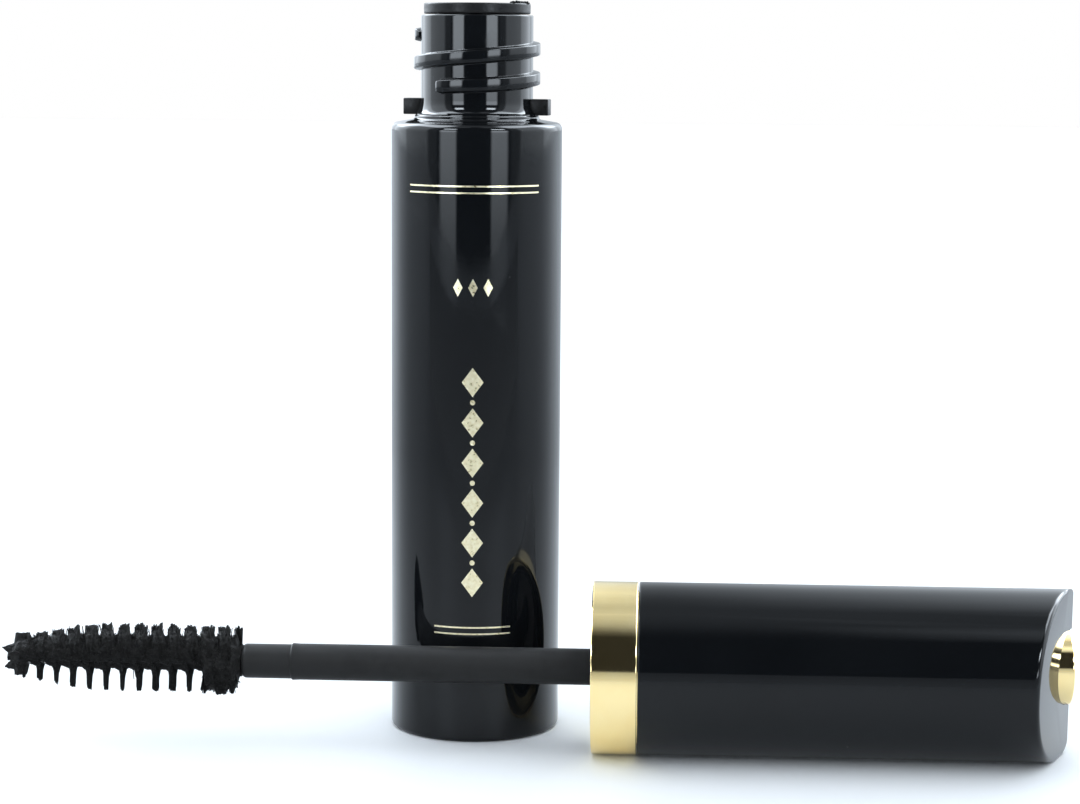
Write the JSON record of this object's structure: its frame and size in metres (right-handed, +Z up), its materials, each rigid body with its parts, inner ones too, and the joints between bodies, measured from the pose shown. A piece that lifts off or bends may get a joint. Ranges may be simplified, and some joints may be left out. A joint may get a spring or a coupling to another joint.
{
  "type": "mascara tube",
  "caption": "Opened mascara tube: round gloss bottle with threaded neck and wiper, beside its facet-ended cap with metal collar and button, wand rod and twisted-wire brush.",
  "frame": {"origin": "centre of the bottle's base, on the table", "axes": "+Z up along the bottle's axis; +X along the lying wand, from the brush towards the cap's closed end; -Y towards the side the wand lies on"},
  "size_m": [0.1134, 0.0297, 0.0786],
  "materials": {
    "gloss_black": "high gloss",
    "soft_black": "soft matte",
    "gold_metal": "bright champagne gold",
    "rod_black": "satin",
    "insert_black": "matte",
    "washer_foam": "matte",
    "steel_wire": "drawn",
    "fibre_black": "coated fibre"
  },
  "bodies": {
    "bottle": {"bottle_shell": "gloss_black", "wiper": "soft_black"},
    "washer": {"sealing_washer": "washer_foam"},
    "wand": {"cap_shell": "gloss_black", "collar_ring": "gold_metal", "end_button": "gold_metal", "inner_cap": "insert_black", "wand_rod": "rod_black", "twisted_wire": "steel_wire", "bristles": "fibre_black"}
  },
  "joints": [
    {"name": "cap_climb", "type": "slide", "parent": "bottle", "child": "washer", "axis": [1, 0, 0], "range_m": [0, 0.00543]},
    {"name": "cap_turn", "type": "hinge", "parent": "washer", "child": "wand", "pos_m": [0.0133, -0.0114, 0.00912], "axis": [1, 0, 0], "range_deg": [0, 630]}
  ],
  "couplings": [
    {"joint": "cap_climb", "follows": "cap_turn", "m_per_rad": 0.00049338}
  ]
}
